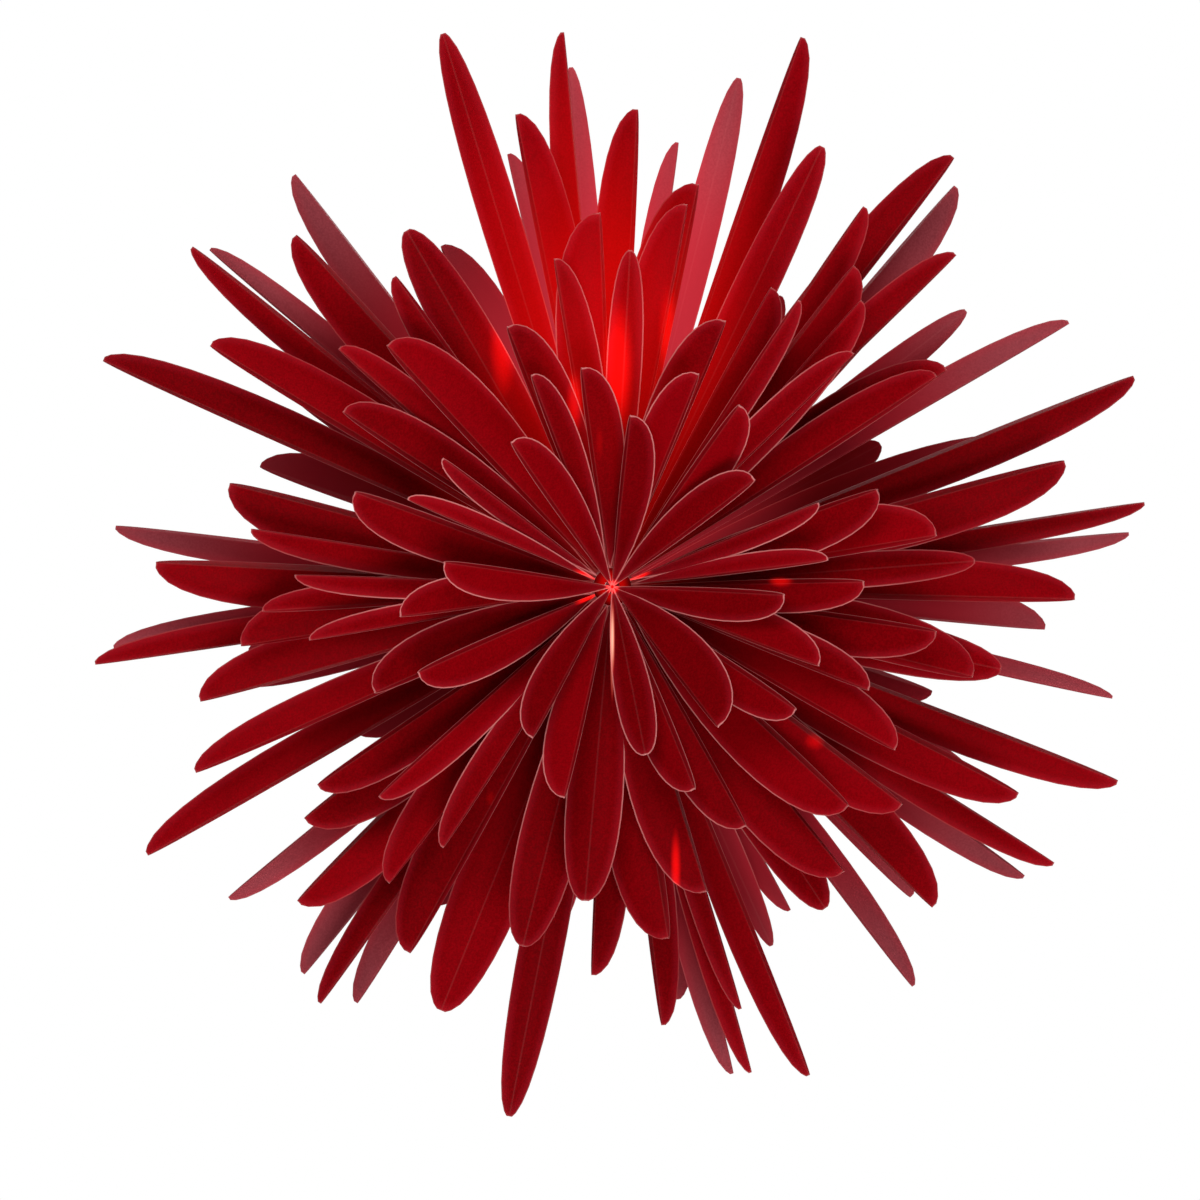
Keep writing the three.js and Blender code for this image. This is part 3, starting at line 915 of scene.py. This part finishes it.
def floor_material():
    """Pale floor that holds the shadow near the flower and fades to white further out."""
    material, tree, shader = new_material("pale_floor")
    shader.inputs["Base Color"].default_value = FLOOR_COLOUR
    shader.inputs["Roughness"].default_value = FLOOR_ROUGHNESS
    shader.inputs["Emission Color"].default_value = WHITE
    mixed, seen = backdrop_shader(tree, shader.outputs["BSDF"])
    tree.links.new(maths(tree, "MULTIPLY", seen, FLOOR_LIFT), shader.inputs["Emission Strength"])
    far = ramp(tree, length_of(tree, object_place(tree)), *FLOOR_FADE, 0.0, 1.0)
    tree.links.new(maths(tree, "MULTIPLY", seen, far), mixed.inputs[0])
    tree.links.new(mixed.outputs[0], tree.nodes["Material Output"].inputs["Surface"])
    return material


def make_floor():
    """A wide pale floor under the hanging flower."""
    deselect_all()
    bpy.ops.mesh.primitive_circle_add(
        vertices=FLOOR_SIDES, radius=FLOOR_RADIUS, fill_type="NGON", location=(0.0, 0.0, -FLOOR_DROP)
    )
    floor = bpy.context.object
    floor.name = "floor"
    floor.data.materials.append(floor_material())


def make_world():
    """Soft even light from all round, white behind the flower."""
    world = bpy.data.worlds.new("studio")
    bpy.context.scene.world = world
    world.use_nodes = True
    tree = world.node_tree
    soft = tree.nodes["Background"]
    soft.inputs["Color"].default_value = WHITE
    soft.inputs["Strength"].default_value = WORLD_STRENGTH
    mixed, seen = backdrop_shader(tree, soft.outputs[0])
    tree.links.new(seen, mixed.inputs[0])
    tree.links.new(mixed.outputs[0], tree.nodes["World Output"].inputs["Surface"])


def add_lamp(name, place, size, power):
    """A square soft lamp that points at the flower."""
    deselect_all()
    bpy.ops.object.light_add(type="AREA", location=place)
    lamp = bpy.context.object
    lamp.name = name
    lamp.data.size = size
    lamp.data.energy = power
    lamp.rotation_euler = (-Vector(place)).to_track_quat("-Z", "Y").to_euler()


def make_camera():
    """The photograph's view: square on, with the flower's middle a little off the centre."""
    pixel = FRAME_WIDTH / IMAGE_SIZE
    aside = (IMAGE_SIZE / 2 - FLOWER_PIXEL[0]) * pixel
    down = (FLOWER_PIXEL[1] - IMAGE_SIZE / 2) * pixel
    place = (aside, -CAMERA_DISTANCE, down)
    bpy.ops.object.camera_add(location=place, rotation=(math.radians(90), 0.0, 0.0))
    camera = bpy.context.object
    camera.name = "photo_camera"
    camera.data.sensor_width = SENSOR_WIDTH
    camera.data.lens = SENSOR_WIDTH * CAMERA_DISTANCE / FRAME_WIDTH
    camera.data.clip_end = FAR_CLIP
    bpy.context.scene.camera = camera


# Operators


class PAPERFLOWER_OT_front(bpy.types.Operator):
    """Builds the rosettes of the front half, red face towards the viewer"""

    bl_idname = "paper_flower.front"
    bl_label = "Front rosettes"

    def execute(self, context):
        face, reverse, edge = paper_set(context.scene.paper_flower_colours)
        sizes = context.scene.paper_flower_sizes
        build_rosettes(range(FRONT_COUNT), (face, reverse, edge), sizes)
        return {"FINISHED"}


class PAPERFLOWER_OT_rear(bpy.types.Operator):
    """Builds the rosettes of the back half, which show the reverse to the front, pale pink with painted
    sheen
    """

    bl_idname = "paper_flower.rear"
    bl_label = "Rear rosettes"

    def execute(self, context):
        face, reverse, edge = paper_set(context.scene.paper_flower_colours)
        sizes = context.scene.paper_flower_sizes
        build_rosettes(range(FRONT_COUNT, len(ROSETTES)), (reverse, face, edge), sizes)
        return {"FINISHED"}


class PAPERFLOWER_OT_core(bpy.types.Operator):
    """Gives the core its rolled-paper finish"""

    bl_idname = "paper_flower.core"
    bl_label = "Core"

    def execute(self, context):
        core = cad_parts["core_roll"]
        core.data.materials.clear()
        core.data.materials.append(core_finish())
        return {"FINISHED"}


class PAPERFLOWER_OT_stage(bpy.types.Operator):
    """Sets the floor, the light and the camera"""

    bl_idname = "paper_flower.stage"
    bl_label = "Stage"

    def execute(self, context):
        make_floor()
        make_world()
        for name, (place, size, power) in LAMPS.items():
            add_lamp(name, place, size, power)
        make_camera()
        context.scene.view_settings.view_transform = "Standard"
        return {"FINISHED"}


class PAPERFLOWER_PT_panel(bpy.types.Panel):
    """Sizes, colours and build steps of the paper flower"""

    bl_idname = "PAPERFLOWER_PT_panel"
    bl_label = "Paper flower"
    bl_space_type = "VIEW_3D"
    bl_region_type = "UI"
    bl_category = "Paper flower"

    def draw(self, context):
        for group in (context.scene.paper_flower_sizes, context.scene.paper_flower_colours):
            box = self.layout.box()
            for name in group.__annotations__:
                box.prop(group, name)
        for step in STEPS:
            self.layout.operator(step.bl_idname)


STEPS = (PAPERFLOWER_OT_front, PAPERFLOWER_OT_rear, PAPERFLOWER_OT_core, PAPERFLOWER_OT_stage)
CLASSES = (PaperFlowerSizes, PaperFlowerColours, *STEPS, PAPERFLOWER_PT_panel)


def register():
    """Registers the classes and gives the scene their sizes and colours."""
    for item in CLASSES:
        bpy.utils.register_class(item)
    bpy.types.Scene.paper_flower_sizes = bpy.props.PointerProperty(type=PaperFlowerSizes)
    bpy.types.Scene.paper_flower_colours = bpy.props.PointerProperty(type=PaperFlowerColours)


def unregister():
    """Takes away what register added."""
    del bpy.types.Scene.paper_flower_colours
    del bpy.types.Scene.paper_flower_sizes
    for item in reversed(CLASSES):
        bpy.utils.unregister_class(item)


def main():
    """Builds the flower and its stage."""
    register()
    bpy.ops.paper_flower.front()
    bpy.ops.paper_flower.rear()
    bpy.ops.paper_flower.core()
    bpy.ops.paper_flower.stage()


if __name__ == "__main__":
    main()
